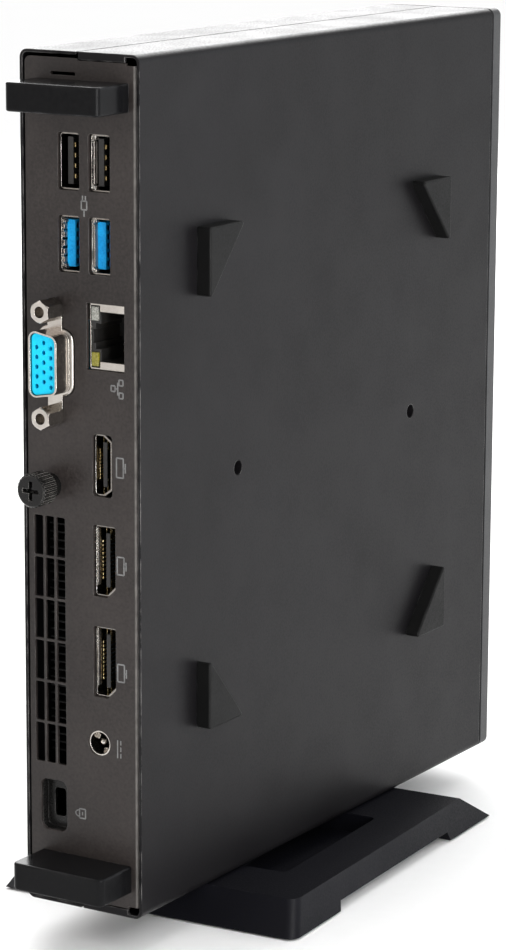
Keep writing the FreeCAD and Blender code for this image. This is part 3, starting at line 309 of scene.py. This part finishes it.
# What a few finishes have on top of their look.
EXTRAS = {
    "panel_paint": paint_fold_highlight,
    "ribbon": ridge_cable,
    "status_window": tint_windows,
    "circuit_board": print_tracks,
}


def make_finishes():
    """Every finish by name."""
    finishes = {name: finish(name, **look) for name, look in LOOKS.items()}
    for name, extra in EXTRAS.items():
        tree = finishes[name].node_tree
        shader = tree.nodes["Principled BSDF"]
        extra(tree, shader, shader.inputs["Base Color"].links[0].from_socket)
    return finishes


# ---------------------------------------------------------------- pieces
def dress_frame(finishes):
    """Give every CAD node the finish of its slot, or its own."""
    slots = {part["node"]: part["material_slot"] for part in frame["record"]["subparts"]}
    for name, node in frame["nodes"].items():
        node.data.materials.clear()
        node.data.materials.append(finishes[NODE_LOOKS.get(name, slots[name])])


def at(x, y, z):
    """A point given in the case's own millimetres."""
    return CASE_ORIGIN + Vector((x, y, z)) * MM


def case_box(name):
    """(low, high) corners of a node in case millimetres."""
    return [(corner - CASE_ORIGIN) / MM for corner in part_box(name)]


def mesh_object(name, mesh, material):
    """An object of a finished mesh."""
    data = bpy.data.meshes.new(name)
    mesh.to_mesh(data)
    mesh.free()
    data.materials.append(material)
    made = bpy.data.objects.new(name, data)
    bpy.context.scene.collection.objects.link(made)
    return made


def new_piece(name, build, material, body):
    """A mesh built by build(mesh), riding on a body."""
    mesh = bmesh.new()
    build(mesh)
    bmesh.ops.recalc_face_normals(mesh, faces=mesh.faces)
    piece = mesh_object(name, mesh, material)
    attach(piece, body)


def skin(mesh, near, far):
    """Closed solid between two loops of points, in case millimetres."""
    near = [mesh.verts.new(at(*point)) for point in near]
    far = [mesh.verts.new(at(*point)) for point in far]
    mesh.faces.new(near)
    mesh.faces.new(list(reversed(far)))
    for index in range(len(near)):
        after = (index + 1) % len(near)
        mesh.faces.new((near[index], far[index], far[after], near[after]))


def prism(mesh, outline, y0, y1):
    """Straight prism of an outline of (x, z) points, between two depths."""
    skin(mesh, [(x, y0, z) for x, z in outline], [(x, y1, z) for x, z in outline])


def block(mesh, x, y, z):
    """Box over three (low, high) spans."""
    prism(mesh, [(x[0], z[0]), (x[1], z[0]), (x[1], z[1]), (x[0], z[1])], y[0], y[1])


def stroke(mesh, start, end, width=LINE):
    """Printed line between two (x, z) points of the panel."""
    along = Vector((end[0] - start[0], end[1] - start[1]))
    side = along.orthogonal().normalized() * width / 2
    corners = [Vector(start) - side, Vector(end) - side, Vector(end) + side, Vector(start) + side]
    prism(mesh, corners, PANEL_Y - INK, PANEL_Y)


def frame_mark(mesh, centre, width, height):
    """Printed outline of a rectangle."""
    x, z = centre
    corners = [(x - width / 2, z - height / 2), (x + width / 2, z - height / 2),
               (x + width / 2, z + height / 2), (x - width / 2, z + height / 2)]
    for start, end in zip(corners, corners[1:] + corners[:1]):
        stroke(mesh, start, end)


def plug_mark(mesh):
    """Small plug: a body, two prongs and its lead."""
    x, z = PLUG_AT
    frame_mark(mesh, (x, z), 1.5, 2.0)
    for side in (-0.4, 0.4):
        stroke(mesh, (x + side, z + 1.0), (x + side, z + 2.2))
    stroke(mesh, (x, z - 1.0), (x, z - 2.6))


def network_mark(mesh):
    """Three linked squares."""
    x, z = NETWORK_AT
    for dx, dz in ((-1.2, 0.0), (1.0, 1.5), (1.0, -1.5)):
        frame_mark(mesh, (x + dx, z + dz), 1.1, 1.3)
    stroke(mesh, (x - 0.6, z), (x + 0.1, z))
    stroke(mesh, (x + 0.1, z - 1.5), (x + 0.1, z + 1.5))


def screen_marks(mesh):
    """Three screens on their feet, lying on their sides."""
    for (x, z), height in SCREENS:
        frame_mark(mesh, (x, z), 1.9, height)
        stroke(mesh, (x + 0.95, z), (x + 1.5, z))
        stroke(mesh, (x + 1.5, z - height / 4), (x + 1.5, z + height / 4))


def supply_mark(mesh):
    """Direct-current sign: one full line and three dashes."""
    x, z = SUPPLY_AT
    stroke(mesh, (x - 0.45, z - 2.2), (x - 0.45, z + 2.2), THIN_LINE)
    for step in (-1, 0, 1):
        stroke(mesh, (x + 0.45, z + 1.6 * step - 0.55), (x + 0.45, z + 1.6 * step + 0.55), THIN_LINE)


def padlock_mark(mesh):
    """Padlock on its side: a body with a keyhole, and a bow."""
    x, z = PADLOCK_AT
    frame_mark(mesh, (x + 0.6, z), 1.7, 2.3)
    stroke(mesh, (x + 0.6, z - 0.4), (x + 0.6, z + 0.4))
    steps = 6
    arc = [(x - 0.25 - 1.1 * math.sin(angle), z + 0.8 * math.cos(angle))
           for angle in [math.pi * step / steps for step in range(steps + 1)]]
    for start, end in zip(arc, arc[1:]):
        stroke(mesh, start, end, THIN_LINE)


def solids(name):
    """(low, high) corners in case millimetres of each loose part of a node."""
    mesh = bmesh.new()
    mesh.from_mesh(frame["nodes"][name].data)
    found = set()
    boxes = []
    for first in mesh.verts:
        if first in found:
            continue
        found.add(first)
        reached = [first]
        corners = []
        while reached:
            vertex = reached.pop()
            corners.append((vertex.co - CASE_ORIGIN) / MM)
            for edge in vertex.link_edges:
                other = edge.other_vert(vertex)
                if other not in found:
                    found.add(other)
                    reached.append(other)
        low = Vector([min(corner[axis] for corner in corners) for axis in range(3)])
        high = Vector([max(corner[axis] for corner in corners) for axis in range(3)])
        boxes.append((low, high))
    mesh.free()
    return boxes


def rear_sleeves():
    """Corners of the four rear USB sleeves."""
    return [sleeve for sleeve in solids("usb_shells") if sleeve[0].y < MID_DEPTH]


def video_contacts(mesh):
    """Gold contact strips, in two rows, on the tongues of the three digital video ports."""
    count = 10
    margin = 1.6
    half_width = 0.28
    for low, high in solids("video_port_tongues"):
        span = high.z - low.z - 2 * margin
        for index in range(count):
            z = low.z + margin + span * (index + 0.5) / count
            for x in (high.x - 0.1, high.x - 1.2):
                block(mesh, (x, x + 0.12), (low.y + 0.3, low.y + 5.0), (z - half_width, z + half_width))


def leaf(mesh, sleeve_low, low_z, high_z):
    """Spring leaf that leans from the -X wall of a sleeve into it, between two heights."""
    x = sleeve_low.x + SLEEVE_WALL
    y = sleeve_low.y + LEAF_SET_BACK
    skin(mesh, [(x + dx, y + dy, low_z) for dx, dy in LEAF_OUTLINE],
         [(x + dx, y + dy, high_z) for dx, dy in LEAF_OUTLINE])


def port_leaves(mesh):
    """Spring leaves inside the mouths of the rear USB sleeves and the two longer video sleeves."""
    sleeves = rear_sleeves()
    outer_x = min(low.x for low, high in sleeves)
    upper_z = case_box("usb2_body")[0].z
    margin = 1.0
    gap = 0.35
    for low, high in sleeves:
        if low.x > outer_x + margin:
            leaf(mesh, low, low.z + 0.9, high.z - 0.9)
        elif low.z <= upper_z - margin:
            pitch = (high.z - low.z - 2 * margin) / USB_LEAVES
            for index in range(USB_LEAVES):
                z = low.z + margin + pitch * index
                leaf(mesh, low, z + gap, z + pitch - gap)
    for low, high in solids("video_port_shells"):
        if high.z - low.z > LONG_VIDEO_PORT:
            leaf(mesh, low, low.z + 2.4, high.z - 0.7)


def shaded_tongue_pockets(mesh):
    """Five thin darker plates along the side of each blue tongue, as painted shade of its contact pockets."""
    low, high = case_box("usb3_body")
    count = 5
    margin = 2.4
    half_height = 0.62
    for sleeve_low, _ in rear_sleeves():
        if abs(sleeve_low.z - low.z) > 1.0:
            continue
        face = sleeve_low.x + TONGUE_SIDE
        for index in range(count):
            z = low.z + margin + (high.z - low.z - 2 * margin) * index / (count - 1)
            block(mesh, (face - 0.02, face + 0.06), (low.y + 0.5, low.y + 5.0),
                  (z - half_height, z + half_height))


def inlet_springs(mesh):
    """Three contact leaves between the barrel and the pin of the power inlet."""
    low, high = case_box("power_inlet_sleeve")
    centre = Vector(((low.x + high.x) / 2, (low.z + high.z) / 2))
    outer, outer_half = 2.65, 0.8
    inner, inner_half = 1.75, 0.55
    for angle in (35, 155, 275):
        turn = math.radians(angle)
        out = Vector((math.cos(turn), math.sin(turn)))
        across = Vector((-out.y, out.x))
        corners = [centre + out * outer - across * outer_half, centre + out * outer + across * outer_half,
                   centre + out * inner + across * inner_half, centre + out * inner - across * inner_half]
        prism(mesh, corners, low.y + 2.4, low.y + 6.0)


def make_details(finishes):
    """The small pieces that the CAD nodes do not have, all fixed to the case."""
    for mark in (plug_mark, network_mark, screen_marks, supply_mark, padlock_mark):
        new_piece(mark.__name__, mark, finishes["pale_ink"], "case")
    new_piece("video_contacts", video_contacts, finishes["gold"], "case")
    new_piece("port_leaves", port_leaves, finishes["nickel"], "case")
    new_piece("shaded_tongue_pockets", shaded_tongue_pockets, finishes["pocket_shade_blue"], "case")
    new_piece("inlet_springs", inlet_springs, finishes["nickel"], "case")


# ---------------------------------------------------------------- studio
def make_floor(material):
    mesh = bmesh.new()
    bmesh.ops.create_grid(mesh, x_segments=FLOOR_SEGMENTS, y_segments=FLOOR_SEGMENTS, size=FLOOR_SIZE / 2)
    mesh_object("floor", mesh, material)


def make_lights():
    world = bpy.data.worlds.new("studio")
    bpy.context.scene.world = world
    world.use_nodes = True
    background = world.node_tree.nodes["Background"]
    background.inputs["Color"].default_value = (1.0, 1.0, 1.0, 1.0)
    background.inputs["Strength"].default_value = WORLD_STRENGTH
    sun = bpy.data.lights.new("sun", "SUN")
    sun.energy = SUN_STRENGTH
    sun.angle = math.radians(SUN_ANGLE)
    place_light("sun", sun, Vector(SUN_FROM).normalized(), Vector())
    for name, (direction, distance, size, power, colour) in LIGHTS.items():
        data = area_light(name, size, power)
        data.color = colour
        place_light(name, data, CAMERA_TARGET + Vector(direction).normalized() * distance, CAMERA_TARGET)
    for index, azimuth in enumerate(STRIP_AZIMUTHS):
        turn = math.radians(azimuth)
        name = "strip_%d" % index
        foot = CAMERA_TARGET * 1.0
        foot.z = STRIP_SIZE[1] / 2
        spot = foot + Vector((math.sin(turn), -math.cos(turn), 0.0)) * STRIP_DISTANCE
        place_light(name, area_light(name, STRIP_SIZE, STRIP_POWER), spot, foot)


def area_light(name, size, power):
    """A rectangular lamp, with its width and height and its watts."""
    data = bpy.data.lights.new(name, "AREA")
    data.shape = "RECTANGLE"
    data.size, data.size_y = size
    data.energy = power
    return data


def place_light(name, data, spot, aim):
    """Put a light at a spot, facing an aim; it stays out of the camera's own view."""
    light = bpy.data.objects.new(name, data)
    bpy.context.scene.collection.objects.link(light)
    light.location = spot
    light.rotation_euler = (spot - aim).to_track_quat("Z", "Y").to_euler()
    light.visible_camera = False


def make_camera():
    azimuth = math.radians(CAMERA_AZIMUTH)
    elevation = math.radians(CAMERA_ELEVATION)
    back = Vector((math.sin(azimuth) * math.cos(elevation), -math.cos(azimuth) * math.cos(elevation),
                   math.sin(elevation)))
    right = Vector((math.cos(azimuth), math.sin(azimuth), 0.0))
    up = back.cross(right)
    turned = Matrix((right, up, back)).transposed() @ Matrix.Rotation(math.radians(CAMERA_ROLL), 3, "Z")
    data = bpy.data.cameras.new("camera")
    data.lens = CAMERA_LENS
    data.sensor_width = SENSOR
    data.clip_start = 0.01
    data.clip_end = 100.0
    camera = bpy.data.objects.new("camera", data)
    bpy.context.scene.collection.objects.link(camera)
    camera.matrix_world = Matrix.Translation(CAMERA_TARGET + back * CAMERA_DISTANCE) @ turned.to_4x4()
    bpy.context.scene.camera = camera
    bpy.context.scene.view_settings.view_transform = "Standard"


finishes = make_finishes()
dress_frame(finishes)
make_details(finishes)
make_floor(finishes["studio_floor"])
make_lights()
make_camera()
